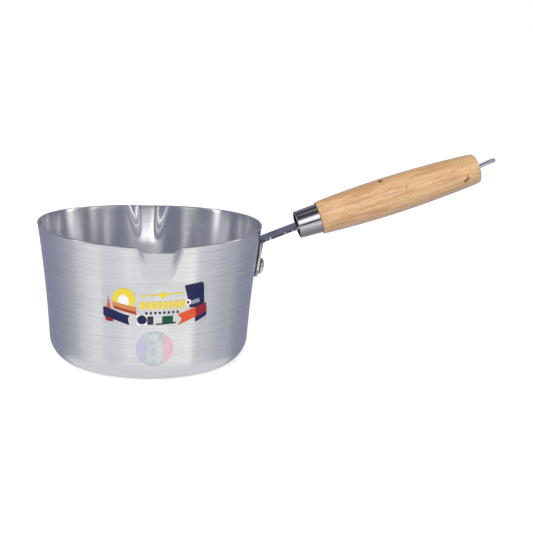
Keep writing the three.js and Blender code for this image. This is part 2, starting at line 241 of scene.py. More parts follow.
def arc(x, y, radius, start, end, steps):
    """Points on an arc round (x, y), from one angle to another in degrees."""
    turns = [math.radians(start + (end - start) * step / steps) for step in range(steps + 1)]
    return [(x + radius * math.cos(turn), y + radius * math.sin(turn)) for turn in turns]


def outside_line(pot, offset):
    """(radius, height) from the middle of the underside up to the rim, moved outwards by an offset."""
    radius = pot.corner_radius
    lean, foot, centre = corner(pot)
    line = [(centre * step / FLOOR_STEPS, -offset) for step in range(FLOOR_STEPS)]
    line += arc(centre, radius, radius + offset, -90, -math.degrees(lean), CORNER_STEPS)
    for step in range(1, WALL_STEPS + 1):
        height = foot + (pot.height - foot) * step / WALL_STEPS
        line.append((wall_radius(pot, height) + offset, height))
    return line


def press_lips(pot, point):
    """Where a point of the turned pot lies once its rim sways and both lips are pressed."""
    rim = pot.rim_diameter / 2
    radius = max(math.hypot(point.x, point.y), 1e-12)
    up = clamp(1 + (point.z - pot.height) / pot.flute_height)
    width = pot.flute_foot + (1 - pot.flute_foot) * up
    around = abs(math.atan2(point.x, abs(point.y)) - math.asin(pot.lip_shift / rim)) * rim
    across = 1 - smoothstep(around, pot.lip_flat / 2 * width, pot.lip_width / 2 * width)
    push = across * up**pot.flute_curl
    grow = 1 + pot.lip_reach * push / radius
    sway = pot.rim_sway * (point.y / radius) ** 2 * (point.z / pot.height) ** 3
    return Vector((point.x * grow, point.y * grow, point.z - pot.lip_drop * push - sway))


def on_front_wall(pot, x, z, offset):
    """The point on the pot's front at x and z, lifted off the wall by an offset, found step by step."""
    around, height = math.asin(x / outer_radius(pot, z)), z
    for _ in range(8):
        radius = outer_radius(pot, height) + offset
        base = Vector((radius * math.sin(around), -radius * math.cos(around), height))
        formed = press_lips(pot, base)
        around += (x - formed.x) / radius
        height += z - formed.z
    return formed


# Line of the strap, in the XZ plane.

Leg = namedtuple("Leg", "start length point rise curl")


def flat(x, z):
    return Vector((x, 0, z))


def heading(rise):
    return flat(math.cos(rise), math.sin(rise))


def grip_reach():
    """Where the wood starts and ends along the grip's line, from the knee."""
    grip = settings().grip
    start = grip.ferrule_length - grip.ferrule_ahead + FIT_GAP
    return start, start + grip.length


def strap_corners():
    """The strap's middle line from the tab's end to the tip, as corner points."""
    strap, pot, grip = settings().strap, settings().pot, settings().grip
    foot_height = pot.height - strap.rivet_below_rim - strap.width / 2
    head_height = pot.height - strap.bend_below_rim
    foot = flat(wall_radius(pot, foot_height) + strap.standoff, foot_height)
    head = flat(wall_radius(pot, head_height) + strap.standoff, head_height)
    tab_up = (head - foot).normalized()
    tab_out = flat(tab_up.z, -tab_up.x)
    end = foot + tab_out * strap.thickness / 2
    bend = head + tab_out * strap.thickness / 2
    knee = bend + heading(strap.neck_rise) * strap.neck_length
    kick = knee + heading(grip.rise) * grip_reach()[1]
    tip = kick + heading(grip.rise + strap.tail_kick) * strap.tail_length
    return [end, bend, knee, kick, tip]


def rise_of(direction):
    return math.atan2(direction.z, direction.x)


def strap_legs():
    """The strap's middle line as legs: straight, bend, straight and so on, from the tab to the tip.

    A leg has its start along the strap, its length, its first point, its rise there and its turn per metre.
    """
    corners, strap = strap_corners(), settings().strap
    bends = [0, strap.bend_radius, strap.knee_radius, strap.kick_radius, 0]
    rises = [rise_of(after - before) for before, after in zip(corners, corners[1:])]
    trims = [0.0]
    for radius, before, after in zip(bends[1:], rises, rises[1:]):
        trims.append(radius * math.tan(abs(after - before) / 2))
    trims.append(0.0)
    legs, along, point = [], 0.0, corners[0]
    for i, rise in enumerate(rises):
        straight = (corners[i + 1] - corners[i]).length - trims[i] - trims[i + 1]
        legs.append(Leg(along, straight, point, rise, 0.0))
        along += straight
        point = point + heading(rise) * straight
        if i + 1 < len(rises):
            turn = rises[i + 1] - rise
            bent = abs(turn) * bends[i + 1]
            legs.append(Leg(along, bent, point, rise, turn / bent))
            along += bent
            point = corners[i + 1] + heading(rises[i + 1]) * trims[i + 1]
    return legs


def strap_place(legs, along):
    """The middle line's point and rise at a distance along the strap."""
    leg = legs[0]
    for candidate in legs:
        if along >= candidate.start:
            leg = candidate
    way = along - leg.start
    if leg.curl == 0:
        return leg.point + heading(leg.rise) * way, leg.rise
    rise = leg.rise + leg.curl * way
    across = (math.sin(rise) - math.sin(leg.rise)) / leg.curl
    up = (math.cos(leg.rise) - math.cos(rise)) / leg.curl
    return leg.point + flat(across, up), rise


def grip_frame():
    """Turns a point from the grip's own frame, X along the grip from the knee, into the row frame."""
    rise = settings().grip.rise
    return Matrix.Translation(strap_corners()[2]) @ Matrix.Rotation(-rise, 4, "Y")


# Mesh helpers.

def turned(profile, steps, closed=False, layer=None):
    """Turns a profile of (radius, height) about Z. The layer keeps each point's way along the profile."""
    bm = bmesh.new()
    way_layer = bm.verts.layers.float.new(layer) if layer else None
    points, way, last = [], 0.0, None
    for radius, height in profile:
        point = bm.verts.new((radius, 0, height))
        if layer:
            way += (Vector((radius, height)) - last).length if last else 0
            last = Vector((radius, height))
            point[way_layer] = way
        points.append(point)
    pairs = list(zip(points, points[1:]))
    if closed:
        pairs.append((points[-1], points[0]))
    edges = [bm.edges.new(pair) for pair in pairs]
    bmesh.ops.spin(
        bm,
        geom=points + edges,
        cent=(0, 0, 0),
        axis=(0, 0, 1),
        angle=2 * math.pi,
        steps=steps,
        use_merge=True,
    )
    bmesh.ops.remove_doubles(bm, verts=bm.verts, dist=WELD)
    bmesh.ops.recalc_face_normals(bm, faces=bm.faces)
    return bm


def lay_along(bm, place):
    """Lays a shape that was turned about Z down along X, then moves it to its place."""
    bmesh.ops.rotate(bm, cent=(0, 0, 0), matrix=Matrix.Rotation(math.pi / 2, 3, "Y"), verts=bm.verts)
    bmesh.ops.transform(bm, matrix=place, verts=bm.verts)


def edges_of(verts):
    return list(dict.fromkeys(edge for vert in verts for edge in vert.link_edges))


def only(kind, items):
    return [item for item in items if isinstance(item, kind)]


def plain_object(name, bm):
    mesh = bpy.data.meshes.new(name)
    bm.to_mesh(mesh)
    bm.free()
    made = bpy.data.objects.new(name, mesh)
    bpy.context.scene.collection.objects.link(made)
    return made


def cut_away(piece, cutter):
    """Cuts a closed shape out of a piece, removes the cutter, and closes up the slivers that are left."""
    knife = plain_object("knife", cutter)
    modifier = piece.modifiers.new("Cut", "BOOLEAN")
    modifier.operation = "DIFFERENCE"
    modifier.solver = "EXACT"
    modifier.object = knife
    depsgraph = bpy.context.evaluated_depsgraph_get()
    whole = piece.data
    piece.data = bpy.data.meshes.new_from_object(piece.evaluated_get(depsgraph))
    piece.modifiers.clear()
    bpy.data.meshes.remove(whole)
    bpy.data.objects.remove(knife)
    bm = bmesh.new()
    bm.from_mesh(piece.data)
    bmesh.ops.dissolve_degenerate(bm, edges=bm.edges, dist=WELD)
    bm.to_mesh(piece.data)
    bm.free()


def finish_piece(piece, material, node, crease=32):
    """Shades a piece, gives it its material, and ties it to the frame in place of its CAD node."""
    piece.data.materials.clear()
    piece.data.materials.append(material)
    piece.data.shade_smooth()
    piece.data.set_sharp_from_angle(angle=math.radians(crease))
    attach(piece, "root")
    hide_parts(node)


def dome(radius, height, seat, side, edge, steps=14):
    """(radius, place along the axis) from a dome's crown down to its edge."""
    points = []
    for step in range(steps + 1):
        turn = step / steps * math.pi / 2
        rise = edge + (height - edge) * math.cos(turn)
        points.append((radius * math.sin(turn), seat + side * rise))
    return points


# Material helpers.

class Nodes:
    """Builds the nodes of one material or world."""

    def __init__(self, owner):
        owner.use_nodes = True
        self.owner = owner
        self.tree = owner.node_tree

    def add(self, kind, **values):
        node = self.tree.nodes.new(kind)
        for key, value in values.items():
            setattr(node, key, value)
        return node

    def link(self, source, target):
        self.tree.links.new(source, target)

    def feed(self, socket, value):
        """Links a socket, or sets a plain value."""
        if isinstance(value, bpy.types.NodeSocket):
            self.link(value, socket)
        else:
            socket.default_value = value

    def coordinates(self, scale=(1, 1, 1), matrix=None):
        """Object coordinates, first brought into a piece's own frame, then scaled."""
        source = self.add("ShaderNodeTexCoord").outputs["Object"]
        if matrix is not None:
            back = matrix.inverted()
            place = self.add("ShaderNodeMapping", vector_type="POINT")
            place.inputs["Location"].default_value = back.to_translation()
            place.inputs["Rotation"].default_value = back.to_euler()
            self.link(source, place.inputs["Vector"])
            source = place.outputs["Vector"]
        if scale == (1, 1, 1):
            return source
        return self.scaled(source, scale)

    def scaled(self, source, scale, shift=(0, 0, 0)):
        """Coordinates on which a pattern repeats this many times a metre."""
        mapping = self.add("ShaderNodeMapping", vector_type="POINT")
        mapping.inputs["Scale"].default_value = scale
        mapping.inputs["Location"].default_value = shift
        self.link(source, mapping.inputs["Vector"])
        return mapping.outputs["Vector"]

    def noise(self, vector, detail=3.0, rough=0.55):
        node = self.add("ShaderNodeTexNoise")
        self.link(vector, node.inputs["Vector"])
        for socket, value in (("Scale", 1.0), ("Detail", detail), ("Roughness", rough)):
            node.inputs[socket].default_value = value
        return node.outputs["Fac"]

    def maths(self, operation, first, second=0.0, third=0.0):
        node = self.add("ShaderNodeMath", operation=operation)
        for socket, value in zip(node.inputs, (first, second, third)):
            self.feed(socket, value)
        return node.outputs[0]

    def times(self, first, second):
        return self.maths("MULTIPLY", first, second)

    def plus(self, first, second):
        return self.maths("ADD", first, second)

    def minus(self, first, second):
        return self.maths("SUBTRACT", first, second)

    def biggest(self, first, second):
        return self.maths("MAXIMUM", first, second)

    def ramp(self, value, start, end):
        """Eases a value from one (place, result) to the next, held beyond both."""
        node = self.add("ShaderNodeMapRange", interpolation_type="SMOOTHSTEP")
        self.feed(node.inputs["Value"], value)
        for suffix, (place, result) in (("Min", start), ("Max", end)):
            node.inputs["From " + suffix].default_value = place
            node.inputs["To " + suffix].default_value = result
        return node.outputs["Result"]

    def mix(self, mask, first, second, blend="MIX"):
        node = self.add("ShaderNodeMix", data_type="RGBA", blend_type=blend)
        sockets = {socket.identifier: socket for socket in node.inputs}
        self.feed(sockets["Factor_Float"], mask)
        for key, value in (("A_Color", first), ("B_Color", second)):
            self.feed(sockets[key], (*value[:3], 1) if isinstance(value, tuple) else value)
        return next(socket for socket in node.outputs if socket.identifier == "Result_Color")

    def separate(self, vector):
        node = self.add("ShaderNodeSeparateXYZ")
        self.link(vector, node.inputs[0])
        return node.outputs

    def combine(self, x, y, z):
        node = self.add("ShaderNodeCombineXYZ")
        for socket, value in zip(node.inputs, (x, y, z)):
            self.feed(socket, value)
        return node.outputs[0]

    def bump(self, height, distance, strength=1.0):
        node = self.add("ShaderNodeBump")
        node.inputs["Strength"].default_value = strength
        node.inputs["Distance"].default_value = distance
        self.link(height, node.inputs["Height"])
        return node.outputs["Normal"]

    def distance(self, vector):
        node = self.add("ShaderNodeVectorMath", operation="LENGTH")
        self.link(vector, node.inputs[0])
        return node.outputs["Value"]

    def backdrop(self, value):
        node = self.add("ShaderNodeBackground")
        self.feed(node.inputs["Color"], value)
        return node.outputs[0]

    def ring(self, around, stops):
        """Light by the share of a turn, from stops of (degrees from the viewer, brightness, how blue)."""
        node = self.add("ShaderNodeValToRGB")
        elements = node.color_ramp.elements
        for degrees, bright, cool in stops:
            place = (degrees + 180) / 360
            ends = {0: elements[0], 1: elements[-1]}
            element = ends[place] if place in ends else elements.new(place)
            element.color = studio_tint(bright, cool)
        self.link(around, node.inputs["Fac"])
        return node.outputs["Color"]

    def surface(self, **values):
        """Sets the shader's sockets by name, with underscores for spaces."""
        shader = self.tree.nodes["Principled BSDF"]
        for key, value in values.items():
            self.feed(shader.inputs[key.replace("_", " ")], value)
        return self.owner


def rgb(value, factor=1.0):
    """A colour as a plain tuple, made darker or lighter by a factor."""
    return tuple(min(part * factor, 1) for part in value)


def studio_tint(bright, cool):
    """The colour of a light from its brightness and how blue it is."""
    return (bright, bright * (1 + cool * 0.1), bright * (0.935 + cool), 1)


def new_material(name):
    return Nodes(bpy.data.materials.new(name))


# Finishes.

def brushed_aluminium():
    """Fine lathe lines that follow the wall up from the floor, with soft handling marks."""
    n = new_material("brushed aluminium")
    way = n.add("ShaderNodeAttribute", attribute_name="turning_way").outputs["Fac"]
    x, y, _ = n.separate(n.coordinates())
    fine = n.noise(n.combine(n.times(x, 14), n.times(y, 14), n.times(way, 2000)), detail=4.0, rough=0.7)
    broad = n.noise(n.combine(n.times(x, 9), n.times(y, 9), n.times(way, 500)), rough=0.6)
    marks = n.noise(n.coordinates((22, 22, 30)))
    lines = n.plus(n.times(fine, 0.85), n.times(broad, 0.15))
    light = settings().finish.aluminium
    return n.surface(
        Base_Color=n.mix(n.ramp(lines, (0.36, 0.0), (0.64, 1.0)), rgb(light, 0.93), rgb(light, 1.04)),
        Metallic=1.0,
        Roughness=n.plus(n.ramp(lines, (0.3, 0.24), (0.7, 0.21)), n.times(marks, 0.03)),
        Anisotropic=0.93,
        Anisotropic_Rotation=0.25,
        Tangent=n.add("ShaderNodeTangent", direction_type="RADIAL", axis="Z").outputs[0],
    )


def strap_steel():
    """Dark rolled steel with fine scratches; painted shade on the neck's front side; painted highlights on
    its edges, in flecks along the front edge, on the tab's front side and over the tail.
    """
    n = new_material("strap steel")
    base, strap, pot = settings().finish.strap, settings().strap, settings().pot
    front, wood_end = -strap.width / 2, grip_reach()[1]
    bend = pot.height - strap.bend_below_rim
    along, across, _ = n.separate(n.coordinates(matrix=grip_frame()))
    _, _, height = n.separate(n.coordinates())
    scratches = n.noise(n.coordinates((60, 900, 900), grip_frame()), detail=4.0, rough=0.7)
    patches = n.noise(n.coordinates((140, 140, 140)), detail=4.0)
    both = n.plus(n.times(scratches, 0.6), n.times(patches, 0.4))
    mixed = n.mix(n.ramp(both, (0.34, 0.0), (0.66, 1.0)), rgb(base, 0.62), rgb(base, 1.5))
    front_side = n.ramp(across, (front + 0.1 * MM, 1.0), (front + 0.5 * MM, 0.0))
    front_edge = n.ramp(across, (front + 0.1 * MM, 1.0), (front + 1.3 * MM, 0.0))
    neck = n.ramp(height, (bend - 9 * MM, 0.0), (bend - 5 * MM, 1.0))
    # Painted shade: the neck's front side is darkened to a third of the steel's colour.
    mixed = n.mix(n.times(front_side, neck), mixed, rgb(base, 0.3))
    # Painted highlights: a light steel colour on the sharp edges, in flecks along the front edge, on the
    # tab's front side and over the tail.
    painted_highlight = n.ramp(n.add("ShaderNodeNewGeometry").outputs["Pointiness"], (0.52, 0.0), (0.60, 1.0))
    flecks = n.ramp(n.noise(n.coordinates((500, 300, 1))), (0.55, 0.0), (0.60, 0.9))
    tail = n.ramp(along, (wood_end - 9.3 * MM, 0.0), (wood_end - 8.3 * MM, 0.8))
    tab = n.ramp(height, (bend - 17 * MM, 0.9), (bend - 11 * MM, 0.0))
    for bright_part in (n.times(flecks, front_edge), tail, n.times(front_side, tab)):
        painted_highlight = n.biggest(painted_highlight, bright_part)
    return n.surface(
        Base_Color=n.mix(painted_highlight, mixed, (0.78, 0.77, 0.78)),
        Metallic=1.0,
        Roughness=n.ramp(both, (0.3, 0.42), (0.7, 0.26)),
        Normal=n.bump(both, 0.08 * MM, 0.5),
    )


def rivet_steel():
    """Bright pressed steel with small dents."""
    n = new_material("rivet steel")
    dents = n.noise(n.coordinates((420, 420, 420)))
    base = settings().finish.rivet
    return n.surface(
        Base_Color=n.mix(n.ramp(dents, (0.35, 0.0), (0.65, 1.0)), rgb(base, 0.8), rgb(base)),
        Metallic=1.0,
        Roughness=n.ramp(dents, (0.3, 0.22), (0.7, 0.12)),
        Normal=n.bump(dents, 0.12 * MM, 0.5),
    )


def polished_steel():
    """Ferrule steel with faint lines round it, and painted shade along its underside."""
    n = new_material("polished steel")
    lines = n.noise(n.coordinates((1400, 30, 30), grip_frame()), rough=0.7)
    smears = n.noise(n.coordinates((90, 90, 90)))
    base = settings().finish.ferrule
    _, _, above = n.separate(n.coordinates(matrix=grip_frame()))
    tone = n.mix(n.ramp(lines, (0.3, 0.0), (0.7, 1.0)), rgb(base, 0.93), rgb(base))
    return n.surface(
        # Painted shade: the underside is darkened to 0.42 of the steel's colour.
        Base_Color=n.mix(n.ramp(above, (-8.5 * MM, 0.0), (-1 * MM, 1.0)), rgb(base, 0.42), tone),
        Metallic=1.0,
        Roughness=n.plus(n.times(smears, 0.10), 0.06),
        Normal=n.bump(lines, 0.01 * MM, 0.15),
    )


# Small marks in the wood, in the grip's own frame: (x, y, z) of the middle and (x, y, z) half sizes, in
# millimetres, the turn about Y in degrees, and the colour.
WOOD_MARKS = [
    ((67.1, -4.6, 15.0), (1.9, 1.8, 1.7), 0, (0.018, 0.012, 0.012)),
    ((84.6, -14.6, 6.0), (0.42, 1.2, 1.25), 48, (0.08, 0.035, 0.02)),
    ((85.1, -15.0, -4.8), (0.6, 0.8, 0.5), 0, (0.50, 0.16, 0.04)),
    ((137.2, -12.9, -1.9), (1.5, 1.2, 2.6), -25, (0.45, 0.20, 0.10)),
    ((135.4, -12.9, -4.3), (2.7, 1.4, 1.5), -30, (0.22, 0.09, 0.06)),
    ((134.4, -12.9, -4.7), (2.2, 1.4, 0.55), -22, (0.03, 0.015, 0.012)),
    ((137.3, -12.9, -3.8), (0.8, 1.2, 0.8), 0, (0.02, 0.012, 0.01)),
]


def pale_wood():
    """Straight-grained pale wood under a thin clear finish, with flecks, streaks and small knots."""
    n = new_material("pale wood")
    finish = settings().finish
    own = n.coordinates(matrix=grip_frame())
    x, y, z = n.separate(own)
    drift = n.noise(n.scaled(own, (9, 30, 30)), detail=2.0)
    layer_way = n.plus(n.plus(n.times(y, 0.55), n.times(z, 0.84)), n.times(drift, 0.012))
    layers = n.noise(n.combine(n.times(x, 2.5), 0.0, n.times(layer_way, 420)))
    fibres = n.noise(n.scaled(own, (16, 480, 480)), detail=4.0, rough=0.65)
    flecks = n.noise(n.scaled(own, (330, 2100, 2100)), detail=2.0)
    broad = n.noise(n.scaled(own, (14, 70, 70), (3, 1, 2)))
    warm = n.noise(n.scaled(own, (26, 110, 110), (7, 5, 1)), rough=0.6)
    tone = n.mix(n.ramp(layers, (0.34, 0.0), (0.66, 1.0)), rgb(finish.wood), rgb(finish.wood_light))
    for grain, start, end, strength, stain in (
        (fibres, 0.48, 0.72, 0.6, rgb(finish.wood_dark)),
        (broad, 0.50, 0.70, 0.45, (0.45, 0.21, 0.07)),
        (warm, 0.56, 0.72, 0.5, (0.44, 0.17, 0.06)),
        (flecks, 0.60, 0.68, 0.6, (0.24, 0.09, 0.04)),
    ):
        tone = n.mix(n.ramp(grain, (start, 0.0), (end, strength)), tone, stain)
    wobble = n.times(n.minus(n.noise(n.scaled(own, (900, 900, 900)), detail=2.0), 0.5), 0.9)
    hollow = 0.0
    for centre, half, turn, mark_colour in WOOD_MARKS:
        place = Matrix.Translation(Vector(centre) * MM) @ Matrix.Rotation(math.radians(turn), 4, "Y")
        local = n.coordinates(tuple(1 / (size * MM) for size in half), grip_frame() @ place)
        mask = n.ramp(n.plus(n.distance(local), wobble), (0.75, 1.0), (1.1, 0.0))
        tone = n.mix(mask, tone, mark_colour)
        hollow = n.biggest(hollow, mask)
    height = n.minus(n.plus(n.times(fibres, 0.5), n.times(flecks, -0.3)), n.times(hollow, 1.5))
    return n.surface(
        Base_Color=tone,
        Roughness=n.ramp(fibres, (0.3, 0.36), (0.7, 0.52)),
        Coat_Weight=1.0,
        Coat_Roughness=0.22,
        Normal=n.bump(height, 0.18 * MM, 0.35),
    )


# Printed fields of the label, in millimetres across and above the underside, painted in this order. A field
# is a corner list that turns left all the way round, or a disc of (x, z, half width, half height).
NAVY = (0.012, 0.018, 0.075)
DEEP_RED = (0.30, 0.015, 0.03)
ORANGE_RED = (0.72, 0.10, 0.035)
GOLD = (0.80, 0.62, 0.06)
DARK_GREEN = (0.012, 0.085, 0.04)
CREAM = (0.86, 0.85, 0.82)
TAN = (0.60, 0.26, 0.09)
LABEL_FIELDS = [
    ([(-36.0, 60.0), (-33.0, 60.0), (-34.9, 69.8)], ORANGE_RED),
    ([(-37.4, 53.8), (-36.2, 50.0), (-31.2, 49.6), (-30.6, 52.0)], DEEP_RED),
    ((-23.3, 68.2, 8.4, 8.6), GOLD),
    ((-23.8, 65.2, 4.2, 6.4), CREAM),
    ([(-31.8, 66.0), (-31.0, 60.2), (-14.0, 56.0), (-14.0, 62.2)], TAN),
    ([(-30.9, 62.6), (-30.2, 60.3), (-14.0, 56.3), (-14.2, 58.6)], (0.38, 0.05, 0.03)),
    ([(-38.4, 60.8), (-38.2, 53.9), (-19.2, 47.8), (-20.6, 55.2), (-36.4, 60.9)], NAVY),
    ([(-22.4, 50.9), (-20.9, 52.6), (-17.6, 54.8), (-22.6, 56.0)], NAVY),
    ([(-13.7, 48.1), (-0.9, 48.1), (-0.9, 56.0), (-13.7, 56.0)], CREAM),
    ((-9.8, 52.4, 3.7, 3.6), NAVY),
    ([(-5.9, 48.5), (-1.2, 48.5), (-1.2, 55.4), (-5.9, 55.4)], (0.03, 0.035, 0.06)),
    ([(5.2, 49.9), (13.4, 50.4), (13.4, 55.6), (5.2, 55.2)], DARK_GREEN),
    ([(0.6, 48.4), (15.6, 49.4), (15.6, 50.5), (0.6, 49.5)], (0.02, 0.03, 0.03)),
    ([(-11.6, 70.6), (21.6, 72.9), (21.6, 74.0), (-11.6, 71.6)], GOLD),
    ([(2.2, 71.8), (5.6, 69.0), (9.0, 72.2), (5.6, 75.0)], GOLD),
    ([(29.6, 57.8), (30.8, 49.2), (39.3, 53.6), (39.3, 60.8)], NAVY),
    ([(21.7, 79.0), (26.1, 61.0), (37.5, 61.0), (36.4, 79.6), (34.9, 80.8)], NAVY),
    ((24.7, 65.6, 2.3, 2.3), CREAM),
    ((24.5, 65.4, 1.1, 1.1), DEEP_RED),
    ([(26.8, 63.4), (33.8, 65.2), (33.0, 68.2), (27.2, 66.6)], (0.30, 0.30, 0.36)),
    ([(20.0, 52.2), (39.4, 56.8), (38.7, 63.9), (17.0, 56.4)], ORANGE_RED),
    ([(17.2, 47.9), (39.4, 56.9), (38.9, 60.4), (20.0, 52.2)], ORANGE_RED),
    ([(31.0, 53.5), (39.4, 56.9), (38.7, 63.9), (30.4, 61.0)], DEEP_RED),
]
# Rows of like marks: first middle, step and half size across, middle and half size up, slope, and count.
LABEL_ROWS = [
    ((-9.9, 4.35, 1.75), (64.0, 3.2, 0.03), 8, GOLD),
    ((-6.6, 3.35, 0.95), (57.9, 1.05, 0.03), 8, (0.04, 0.04, 0.07)),
]


def printed_film():
    """Clear film with plain printed fields in flat colours."""
    n = new_material("printed film")
    x, _, z = n.separate(n.coordinates((1 / MM, 1 / MM, 1 / MM)))
    paint, printed = CREAM, 0.0

    def offset(value, middle, half):
        return n.maths("ABSOLUTE", n.maths("DIVIDE", n.minus(value, middle), half))

    def within(across, up, power):
        return n.maths("LESS_THAN", n.plus(n.maths("POWER", across, power), n.maths("POWER", up, power)), 1.0)

    def polygon(corners):
        mask = 1.0
        for (x0, z0), (x1, z1) in zip(corners, corners[1:] + corners[:1]):
            left = n.times(n.minus(z, z0), x1 - x0)
            right = n.times(n.minus(x, x0), z1 - z0)
            mask = n.times(mask, n.maths("GREATER_THAN", left, right))
        return mask

    masks = []
    for field, ink_colour in LABEL_FIELDS:
        if isinstance(field, tuple):
            middle_x, middle_z, half_x, half_z = field
            masks.append((within(offset(x, middle_x, half_x), offset(z, middle_z, half_z), 2.0), ink_colour))
        else:
            masks.append((polygon(field), ink_colour))
    for (first, step, half_x), (middle, half_z, slope), count, ink_colour in LABEL_ROWS:
        place = n.plus(n.maths("DIVIDE", n.minus(x, first), step), 0.5)
        inside = n.times(n.maths("GREATER_THAN", place, 0.0), n.maths("LESS_THAN", place, count))
        across = offset(n.maths("FRACT", place), 0.5, half_x / step)
        up = offset(n.minus(z, n.maths("MULTIPLY_ADD", x, slope, middle)), 0.0, half_z)
        masks.append((n.times(inside, within(across, up, 3.0)), ink_colour))
    for mask, ink_colour in masks:
        paint = n.mix(mask, paint, ink_colour)
        printed = n.biggest(printed, mask)
    ink = n.noise(n.coordinates((900, 900, 900)), detail=2.0)
    return n.surface(
        Base_Color=n.mix(n.times(ink, 0.25), paint, (0.80, 0.80, 0.80), "MULTIPLY"),
        Roughness=n.ramp(ink, (0.3, 0.22), (0.7, 0.34)),
        Specular_IOR_Level=0.2,
        Alpha=n.biggest(printed, 0.05),
    )


def seal_foil():
    """Silver foil that shifts from violet to rose, with a fine facet pattern and sparks."""
    n = new_material("seal foil")
    own = n.coordinates()
    x, _, z = n.separate(own)
    low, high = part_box("seal_sticker")
    middle, edge = (low + high) / 2, (high.x - low.x) / 2
    cells = n.add("ShaderNodeTexVoronoi", feature="F1")
    n.link(n.scaled(own, (700, 700, 700)), cells.inputs["Vector"])
    cell = n.separate(cells.outputs["Color"])
    clouds = n.noise(n.scaled(own, (150, 150, 150)))
    from_middle = n.distance(n.combine(n.minus(x, middle.x), 0.0, n.minus(z, middle.z)))
    tone = n.mix(n.ramp(clouds, (0.4, 0.0), (0.6, 1.0)), (0.50, 0.51, 0.60), (0.62, 0.62, 0.70))
    for mask, tint in (
        (n.ramp(x, (-12.5 * MM, 0.75), (-5 * MM, 0.0)), (0.66, 0.50, 0.82)),
        (n.ramp(x, (4 * MM, 0.0), (10.5 * MM, 0.75)), (0.90, 0.42, 0.55)),
        (n.times(n.maths("GREATER_THAN", cell[0], 0.94), 0.8), (0.85, 0.85, 0.35)),
        (n.ramp(cell[1], (0.2, 0.0), (0.9, 0.15)), (0.5, 0.9, 0.85)),
        (n.ramp(from_middle, (edge * 0.93, 0.0), (edge * 0.98, 0.5)), (0.45, 0.50, 0.62)),
    ):
        tone = n.mix(mask, tone, tint)
    return n.surface(
        Base_Color=tone,
        Metallic=0.8,
        Roughness=n.ramp(cell[2], (0.0, 0.22), (1.0, 0.38)),
        Normal=n.bump(cells.outputs["Distance"], 0.05 * MM, 0.3),
    )


def pale_floor():
    """A matt white floor that glows a little, so that it stays even."""
    n = new_material("pale floor")
    cloth = n.noise(n.coordinates((3, 3, 3)))
    base = settings().finish.floor
    return n.surface(
        Base_Color=n.mix(n.times(cloth, 0.1), rgb(base), rgb(base, 0.97)),
        Roughness=n.ramp(cloth, (0.3, 0.7), (0.7, 0.8)),
        Specular_IOR_Level=0.1,
        Emission_Color=WHITE,
        Emission_Strength=0.45,
    )


# Operators.

class BuildPot(bpy.types.Operator):
    """Turn the pot, press both pouring lips and drill it for the rivet"""

    bl_idname = "melting_pot.pot"
    bl_label = "Pot"

    def execute(self, context):
        pot, strap = settings().pot, settings().strap
        rim_foot = pot.height - pot.wall / 2
        outside = [point for point in outside_line(pot, 0) if point[1] < rim_foot]
        rim = arc((pot.rim_diameter - pot.wall) / 2, rim_foot, pot.wall / 2, 0, 180, 8)
        inside = [point for point in outside_line(pot, -pot.wall) if pot.floor < point[1] < rim_foot]
        floor_edge = inside[0][0] - 1.2 * MM
        floor_line = [(floor_edge * step / FLOOR_STEPS, pot.floor) for step in range(FLOOR_STEPS + 1)]
        profile = outside + rim + inside[::-1] + floor_line[::-1]
        bm = turned(profile, steps=360, layer="turning_way")
        for vert in bm.verts:
            vert.co = press_lips(pot, vert.co)
        piece = plain_object("pot_drawn", bm)
        cut_away(piece, rivet_bar(strap.width, settings().rivet.shank + RIVET_ROOM))
        finish_piece(piece, brushed_aluminium(), "pot_body")
        return {"FINISHED"}


def rivet_place():
    """Turns the rivet's own frame, X outwards from the middle of the tab, into the row frame."""
    end, bend = strap_corners()[:2]
    tab_up = (bend - end).normalized()
    seat = end + tab_up * settings().strap.width / 2
    return Matrix.Translation(seat) @ Matrix.Rotation(math.pi / 2 - rise_of(tab_up), 4, "Y")


def rivet_bar(reach, diameter):
    """A round bar through the tab and the wall."""
    bm = bmesh.new()
    bmesh.ops.create_cone(
        bm, cap_ends=True, segments=48, radius1=diameter / 2, radius2=diameter / 2, depth=reach
    )
    lay_along(bm, rivet_place())
    return bm


def eye(bm, radius, hole, facing, place):
    """A flat end with a round hole, round at its front and square at its back. Returns the back's edges."""
    rings = []
    for size in (hole, radius):
        made = bmesh.ops.create_circle(bm, cap_ends=False, segments=48, radius=size)["verts"]
        rings.append(list(made))
    bmesh.ops.bridge_loops(bm, edges=edges_of(rings[0] + rings[1]))
    for vert in rings[1]:
        turn = math.degrees(math.atan2(abs(vert.co.y), vert.co.x))
        side = math.copysign(1, vert.co.y)
        if turn > 90:
            down = min((turn - 90) / 45, 1)
            across = 1 if turn <= 135 else (180 - turn) / 45
            vert.co = Vector((-radius * down, side * radius * across, 0))
    back = [
        edge
        for edge in edges_of(rings[1])
        if all(vert in rings[1] and abs(vert.co.x + radius) < WELD for vert in edge.verts)
    ]
    every = rings[0] + rings[1]
    if facing < 0:
        bmesh.ops.rotate(bm, cent=(0, 0, 0), matrix=Matrix.Rotation(math.pi, 3, "Z"), verts=every)
    bmesh.ops.translate(bm, vec=(place, 0, 0), verts=every)
    return back


